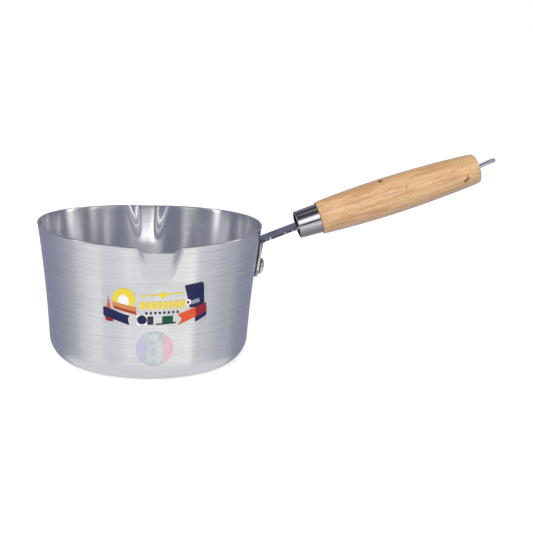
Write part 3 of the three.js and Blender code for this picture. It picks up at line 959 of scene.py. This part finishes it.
def strap_blank(growth, hole, rivet_hole):
    """The straight strap from the tab's end to the tip, grown by a clearance, and the legs of its line."""
    strap, legs = settings().strap, strap_legs()
    _, bend, neck, knee, _, kick, *_ = legs
    whole = legs[-1].start + legs[-1].length
    wide, narrow = strap.width / 2 + growth, strap.tail_width / 2 + growth
    taper_end = kick.start - strap.tang_parallel
    tab_at, tail_at = strap.width / 2, whole - strap.tail_width / 2

    def half_width(along):
        return wide + (narrow - wide) * clamp((along - knee.start) / (taper_end - knee.start))

    def cuts(start, span, count):
        return [start + span * step / count for step in range(count, -1, -1)]

    bm = bmesh.new()
    edges = eye(bm, narrow, hole / 2, facing=1, place=tail_at)
    eye(bm, wide, rivet_hole / 2, facing=-1, place=tab_at)
    here = tail_at - narrow
    stations = cuts(kick.start, kick.length, 4) + cuts(taper_end, strap.tang_parallel, 2)[1:]
    stations += cuts(knee.start, taper_end - knee.start, 8)[1:] + [neck.start + neck.length / 2]
    stations += cuts(bend.start, bend.length, 14) + [(bend.start + tab_at + wide) / 2, tab_at + wide]
    for station in stations:
        made = bmesh.ops.extrude_edge_only(bm, edges=edges)["geom"]
        verts, edges = only(bmesh.types.BMVert, made), only(bmesh.types.BMEdge, made)
        bmesh.ops.translate(bm, vec=(station - here, 0, 0), verts=verts)
        widen = half_width(station) / half_width(here)
        bmesh.ops.scale(bm, vec=(1, widen, 1), verts=verts)
        here = station
    bmesh.ops.remove_doubles(bm, verts=bm.verts, dist=WELD * 10)
    bmesh.ops.recalc_face_normals(bm, faces=bm.faces)
    thickness = strap.thickness + 2 * growth
    upper = bmesh.ops.extrude_face_region(bm, geom=bm.faces[:])["geom"]
    bmesh.ops.translate(bm, vec=(0, 0, thickness), verts=only(bmesh.types.BMVert, upper))
    bmesh.ops.translate(bm, vec=(0, 0, -thickness / 2), verts=bm.verts)
    bmesh.ops.recalc_face_normals(bm, faces=bm.faces)
    return bm, legs


def bend_to_line(bm, legs):
    """Bends a straight strap, X along it and Z through it, to the middle line."""
    for vert in bm.verts:
        point, rise = strap_place(legs, vert.co.x)
        across = vert.co.y
        vert.co = point + heading(rise + math.pi / 2) * vert.co.z
        vert.co.y = across


class BuildStrap(bpy.types.Operator):
    """Cut the strap, break its edges and bend it from the tab to the tail"""

    bl_idname = "melting_pot.strap"
    bl_label = "Handle strap"

    def execute(self, context):
        strap = settings().strap
        bm, legs = strap_blank(0, strap.hole, settings().rivet.shank + RIVET_ROOM)
        rims = [edge for edge in bm.edges if edge.calc_face_angle(0) > math.radians(40)]
        bmesh.ops.bevel(
            bm, geom=rims, offset=EDGE_BREAK, segments=3, profile=0.5, affect="EDGES", material=-1
        )
        bend_to_line(bm, legs)
        piece = plain_object("strap_bent", bm)
        finish_piece(piece, strap_steel(), "handle_strap", crease=40)
        return {"FINISHED"}


class BuildRivet(bpy.types.Operator):
    """Turn the rivet with its standing outer head and its low inner head"""

    bl_idname = "melting_pot.rivet"
    bl_label = "Rivet"

    def execute(self, context):
        sizes, strap, pot = settings().rivet, settings().strap, settings().pot
        place = rivet_place()
        out = place.to_3x3() @ Vector((1, 0, 0))
        seat_height = place.translation.z - strap.thickness / 2 * out.z
        inside_radius = wall_radius(pot, seat_height) - pot.wall
        sag = inside_radius - math.sqrt(inside_radius**2 - (sizes.inner_head / 2) ** 2)
        inner_seat = -((place.translation.x - inside_radius) * out.x + sag + RIVET_ROOM)
        outer_seat = strap.thickness / 2 + FIT_GAP
        outer_edge = outer_seat + sizes.undercut
        shank = sizes.shank / 2
        head_radius, head_height = sizes.head / 2, sizes.head_height - sizes.undercut
        # Over the inner head, up the shank, out under the standing edge of the outer head, and over it.
        profile = dome(sizes.inner_head / 2, sizes.inner_height, inner_seat, -1, sizes.inner_height / 4)
        profile += [
            (sizes.inner_head / 2, inner_seat + 0.1 * MM),
            (sizes.inner_head / 2 - 0.2 * MM, inner_seat + 0.25 * MM),
            (shank + 0.4 * MM, inner_seat + 0.25 * MM),
            (shank, inner_seat + 0.3 * MM),
            (shank, outer_seat - 0.2 * MM),
            (shank + 0.3 * MM, outer_seat),
            (head_radius * 0.72, outer_seat + 0.1 * MM),
            (head_radius - 0.35 * MM, outer_edge - 0.25 * MM),
            (head_radius, outer_edge + 0.05 * MM),
        ]
        profile += dome(head_radius, head_height, outer_edge, 1, head_height / 4)[::-1]
        bm = turned(profile, steps=72)
        lay_along(bm, place)
        piece = plain_object("rivet_set", bm)
        finish_piece(piece, rivet_steel(), "handle_rivet")
        return {"FINISHED"}


def ferrule_radius(behind_mouth):
    """The ferrule's outside radius at a distance behind its mouth."""
    grip = settings().grip
    mouth = settings().strap.width + grip.mouth_room
    return (mouth + grip.ferrule_taper * behind_mouth / grip.ferrule_length) / 2


class BuildFerrule(bpy.types.Operator):
    """Roll the ferrule's mouth in over its sheet"""

    bl_idname = "melting_pot.ferrule"
    bl_label = "Ferrule"

    def execute(self, context):
        grip = settings().grip
        mouth, roll, sheet = -grip.ferrule_ahead, grip.ferrule_roll, grip.ferrule_sheet
        rear = mouth + grip.ferrule_length
        middle = ferrule_radius(roll) - roll
        profile = [(ferrule_radius(grip.ferrule_length), rear)]
        profile += arc(middle, mouth + roll, roll, 0, -90, 12)
        profile += [
            (middle - 0.3 * MM, mouth + 0.2 * MM),
            (middle - 0.35 * MM, mouth + sheet * 0.7),
            (middle, mouth + sheet),
            (ferrule_radius(roll) - sheet, mouth + roll + 0.2 * MM),
            (ferrule_radius(grip.ferrule_length) - sheet, rear),
        ]
        bm = turned(profile, steps=112, closed=True)
        lay_along(bm, grip_frame())
        piece = plain_object("ferrule_rolled", bm)
        finish_piece(piece, polished_steel(), "ferrule", crease=50)
        return {"FINISHED"}


def grip_radius(along):
    """The grip's radius at a share of its length: two arcs that meet at the belly."""
    grip = settings().grip
    front = ferrule_radius(grip.ferrule_length) + grip.shoulder
    belly = grip.belly / 2
    if along < grip.belly_share:
        return belly - (belly - front) * (1 - along / grip.belly_share) ** 2
    return belly - (belly - grip.end / 2) * ((along - grip.belly_share) / (1 - grip.belly_share)) ** 2


class BuildGrip(bpy.types.Operator):
    """Turn the wooden grip and slot it for the strap"""

    bl_idname = "melting_pot.grip"
    bl_label = "Wooden grip"

    def execute(self, context):
        grip = settings().grip
        front, end = grip_reach()
        fit = grip.ferrule_sheet + FIT_GAP
        nose = front - grip.nose
        body_front, body_end = front + grip.front_round, end - grip.end_round
        front_edge = ferrule_radius(grip.ferrule_length) + grip.shoulder - grip.front_round
        end_edge = grip.end / 2 - grip.end_round
        nose_radius = ferrule_radius(nose + grip.ferrule_ahead) - fit
        profile = [(nose_radius * step / 4, nose) for step in range(4)]
        profile += [(nose_radius - 0.3 * MM, nose), (nose_radius, nose + 0.3 * MM)]
        profile += [(ferrule_radius(grip.ferrule_length) - fit, front)]
        profile += arc(front_edge, body_front, grip.front_round, -90, 0, 6)
        for step in range(1, 64):
            x = body_front + (body_end - body_front) * step / 64
            profile.append((grip_radius((x - front) / grip.length), x))
        profile += arc(end_edge, body_end, grip.end_round, 0, 90, 10)
        profile += [(end_edge * step / 4, end) for step in (3, 2, 1, 0)]
        bm = turned(profile, steps=128)
        lay_along(bm, grip_frame())
        piece = plain_object("grip_turned", bm)
        slot, legs = strap_blank(FIT_GAP, 2 * MM, 2 * MM)
        bend_to_line(slot, legs)
        cut_away(piece, slot)
        finish_piece(piece, pale_wood(), "wooden_grip", crease=40)
        return {"FINISHED"}


def sticker(name, node, corner_radius, columns, rows):
    """A thin sheet with round corners that lies on the front wall, in its CAD node's place."""
    sizes, pot = settings().sticker, settings().pot
    low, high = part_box(node)
    middle = Vector(((low.x + high.x) / 2, 0, (low.z + high.z) / 2))
    half_x, half_z = (high.x - low.x) / 2, (high.z - low.z) / 2
    bm = bmesh.new()
    bmesh.ops.create_grid(bm, x_segments=columns, y_segments=rows, size=1)
    for vert in bm.verts:
        z = half_z * math.sin(vert.co.y * math.pi / 2)
        into = max(abs(z) - (half_z - corner_radius), 0)
        inset = corner_radius - math.sqrt(max(corner_radius**2 - into**2, 0))
        vert.co = Vector((vert.co.x * (half_x - inset), 0, z))
    bmesh.ops.remove_doubles(bm, verts=bm.verts, dist=WELD)
    bmesh.ops.dissolve_degenerate(bm, edges=bm.edges, dist=WELD)
    upper = bmesh.ops.extrude_face_region(bm, geom=bm.faces[:])["geom"]
    top = set(only(bmesh.types.BMVert, upper))
    for vert in bm.verts:
        offset = sizes.lift + (sizes.film if vert in top else 0)
        vert.co = on_front_wall(pot, middle.x + vert.co.x, middle.z + vert.co.z, offset)
    bmesh.ops.recalc_face_normals(bm, faces=bm.faces)
    return plain_object(name, bm)


class BuildStickers(bpy.types.Operator):
    """Lay the clear label and the round seal on the front wall"""

    bl_idname = "melting_pot.stickers"
    bl_label = "Label and seal"

    def execute(self, context):
        label = sticker("label_clear", "label_film", settings().sticker.label_corner, columns=96, rows=44)
        finish_piece(label, printed_film(), "label_film", crease=50)
        low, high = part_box("seal_sticker")
        seal = sticker("seal_round", "seal_sticker", (high.z - low.z) / 2, columns=40, rows=48)
        finish_piece(seal, seal_foil(), "seal_sticker", crease=50)
        return {"FINISHED"}


# Soft light round the pot: (degrees from the viewer, brightness, how blue), from the left round the front to
# the right. One ring lies below eye level and the other above it, where tall narrow lights stand.
LOW_LIGHT = [
    (-180, 0.32, 0.44), (-137, 0.29, 0.46), (-114, 0.34, 0.38), (-102, 0.41, 0.27), (-92, 0.47, 0.20),
    (-82, 0.58, 0.13), (-74, 0.72, 0.08), (-64, 0.92, 0.06), (-56, 1.01, 0.03), (-49, 1.04, 0.03),
    (-46, 0.83, 0.16), (-30, 0.86, 0.18), (-26, 0.97, 0.08), (-17, 1.12, 0.02), (-9, 1.02, 0.08),
    (-2, 0.97, 0.10), (6, 1.06, 0.04), (15, 1.17, 0.00), (23, 1.19, 0.00), (31, 1.10, 0.00),
    (44, 1.17, 0.00), (56, 1.23, 0.00), (59, 0.80, 0.08), (67, 0.73, 0.11), (75, 0.70, 0.12),
    (84, 0.62, 0.16), (93, 0.54, 0.20), (104, 0.48, 0.22), (115, 0.40, 0.28), (129, 0.35, 0.33),
    (148, 0.30, 0.40), (180, 0.32, 0.44),
]
HIGH_LIGHT = [
    (-180, 0.34, 0.40), (-120, 0.28, 0.40), (-78, 0.20, 0.60), (-75, 3.20, 0.00), (-71, 3.20, 0.00),
    (-68, 0.20, 0.60), (-50, 0.24, 0.55), (-44, 0.70, 0.10), (-32, 0.80, 0.10), (-28, 0.26, 0.50),
    (-8, 0.26, 0.50), (-3, 2.20, 0.00), (2, 2.20, 0.00), (6, 0.95, 0.08), (22, 0.95, 0.08),
    (26, 0.80, 0.05), (31, 0.80, 0.05), (35, 0.40, 0.20), (44, 0.30, 0.45), (50, 0.62, 0.10),
    (62, 0.62, 0.10), (68, 0.30, 0.45), (72, 1.40, 0.00), (76, 1.40, 0.00), (80, 0.20, 0.60),
    (100, 0.26, 0.50), (103, 3.00, 0.00), (109, 3.00, 0.00), (112, 0.22, 0.60), (180, 0.34, 0.40),
]
# The rest of the studio's light, as (brightness, how blue).
GROUND, HORIZON, CEILING, OVERHEAD = (0.82, 0.08), (0.08, 0.40), (0.06, 0.35), (0.55, 0.10)
SHADE_LIGHT = (0.62, 0.62, 0.63, 1)
# Name, kind, place, where it points, power, whether metal mirrors it, and its size.
LAMPS = [
    ("overhead", "SUN", (0, 0, 1), (0.42, 0.62, 0.2), 0.55, False, None),
    ("front softbox", "AREA", (0.1, -1.5, 0.78), (0.2, 0, 0.14), 1.6, True, (1.2, 0.24)),
    ("key", "AREA", (-0.1, -1.5, 0.9), (0.1, 0, 0.1), 13, False, (0.8, 0.8)),
]
FLOOR_RADIUS = 60
# The camera's place in metres, its turn, dip and roll in degrees, and its lens in millimetres.
VIEW_FROM = Vector((-0.04474, -0.86936, 0.27882))
VIEW_TURN, VIEW_DIP, VIEW_ROLL = 9.2, 13.085, 2.275
VIEW_LENS = 73.62


class BuildStage(bpy.types.Operator):
    """Set the pale floor, the soft studio light and the camera"""

    bl_idname = "melting_pot.stage"
    bl_label = "Stage"

    def execute(self, context):
        bm = bmesh.new()
        bmesh.ops.create_circle(bm, cap_ends=True, segments=96, radius=FLOOR_RADIUS)
        floor = plain_object("floor", bm)
        floor.data.materials.append(pale_floor())
        floor.visible_glossy = False
        floor.visible_diffuse = False
        self.surround()
        for lamp in LAMPS:
            self.lamp(*lamp)
        self.camera()
        return {"FINISHED"}

    def surround(self):
        """Plain white to the camera, even light for shading, and rings of soft light for reflections."""
        world = bpy.data.worlds.new("studio")
        bpy.context.scene.world = world
        n = Nodes(world)
        n.tree.nodes.clear()
        turn = n.add("ShaderNodeMapping")
        turn.inputs["Rotation"].default_value = (0, 0, math.radians(VIEW_TURN))
        n.link(n.add("ShaderNodeTexCoord").outputs["Generated"], turn.inputs["Vector"])
        x, y, height = n.separate(turn.outputs["Vector"])
        around = n.maths("MULTIPLY_ADD", n.maths("ARCTAN2", x, n.times(y, -1)), 0.5 / math.pi, 0.5)
        light = n.ring(around, LOW_LIGHT)
        for start, end, above in (
            (-0.15, -0.10, studio_tint(*HORIZON)),
            (0.06, 0.14, n.ring(around, HIGH_LIGHT)),
            (0.66, 0.92, studio_tint(*CEILING)),
            (0.93, 0.98, studio_tint(*OVERHEAD)),
        ):
            light = n.mix(n.ramp(height, (start, 0.0), (end, 1.0)), light, above)
        light = n.mix(n.ramp(height, (-0.66, 0.0), (-0.50, 1.0)), studio_tint(*GROUND), light)
        path = n.add("ShaderNodeLightPath")
        seen = n.backdrop(light)
        for ray, plain in (("Is Diffuse Ray", SHADE_LIGHT), ("Is Camera Ray", WHITE)):
            either = n.add("ShaderNodeMixShader")
            for socket, source in zip(either.inputs, (path.outputs[ray], seen, n.backdrop(plain))):
                n.link(source, socket)
            seen = either.outputs[0]
        n.link(seen, n.add("ShaderNodeOutputWorld").inputs[0])

    def lamp(self, name, kind, place, target, power, mirrored, size):
        light = bpy.data.lights.new(name, kind)
        light.energy = power
        if size:
            light.shape = "RECTANGLE"
            light.size, light.size_y = size
        else:
            light.angle = math.radians(60)
        lamp = bpy.data.objects.new(name, light)
        lamp.location = place
        lamp.rotation_mode = "QUATERNION"
        lamp.rotation_quaternion = (Vector(target) - Vector(place)).to_track_quat("-Z", "Y")
        lamp.visible_camera = False
        lamp.visible_glossy = mirrored
        bpy.context.scene.collection.objects.link(lamp)

    def camera(self):
        turn, dip, roll = (math.radians(value) for value in (VIEW_TURN, VIEW_DIP, VIEW_ROLL))
        ahead = Vector((math.sin(turn) * math.cos(dip), math.cos(turn) * math.cos(dip), -math.sin(dip)))
        right = Vector((math.cos(turn), -math.sin(turn), 0))
        up = right.cross(ahead)
        tilted_right = right * math.cos(roll) + up * math.sin(roll)
        tilted_up = up * math.cos(roll) - right * math.sin(roll)
        data = bpy.data.cameras.new("camera")
        data.sensor_width = 36
        data.lens = VIEW_LENS
        data.clip_start = 0.05
        data.clip_end = 200
        camera = bpy.data.objects.new("camera", data)
        basis = Matrix((tilted_right, tilted_up, -ahead)).transposed()
        camera.matrix_world = Matrix.Translation(VIEW_FROM) @ basis.to_4x4()
        bpy.context.scene.collection.objects.link(camera)
        bpy.context.scene.camera = camera


class MeltingPotPanel(bpy.types.Panel):
    """Lists the pot's pieces and the sizes and colours they are made from"""

    bl_idname = "VIEW3D_PT_melting_pot"
    bl_label = "Melting pot"
    bl_space_type = "VIEW_3D"
    bl_region_type = "UI"
    bl_category = "Melting pot"

    def draw(self, context):
        for operator in OPERATORS:
            self.layout.operator(operator.bl_idname)
        made = context.scene.melting_pot
        for group in (made.pot, made.strap, made.rivet, made.grip, made.sticker, made.finish):
            box = self.layout.box()
            for name in group.bl_rna.properties.keys():
                if name not in {"rna_type", "name"}:
                    box.prop(group, name)


OPERATORS = [BuildPot, BuildStrap, BuildRivet, BuildFerrule, BuildGrip, BuildStickers, BuildStage]
GROUPS = [PotSizes, StrapSizes, RivetSizes, GripSizes, StickerSizes, FinishColours, MeltingPotSettings]


def register():
    for item in GROUPS + OPERATORS + [MeltingPotPanel]:
        bpy.utils.register_class(item)
    bpy.types.Scene.melting_pot = bpy.props.PointerProperty(type=MeltingPotSettings)


def unregister():
    del bpy.types.Scene.melting_pot
    for item in reversed(GROUPS + OPERATORS + [MeltingPotPanel]):
        bpy.utils.unregister_class(item)


def main():
    register()
    bpy.context.scene.view_settings.view_transform = "Standard"
    bpy.ops.melting_pot.pot()
    bpy.ops.melting_pot.strap()
    bpy.ops.melting_pot.rivet()
    bpy.ops.melting_pot.ferrule()
    bpy.ops.melting_pot.grip()
    bpy.ops.melting_pot.stickers()
    bpy.ops.melting_pot.stage()


if __name__ == "__main__":
    main()
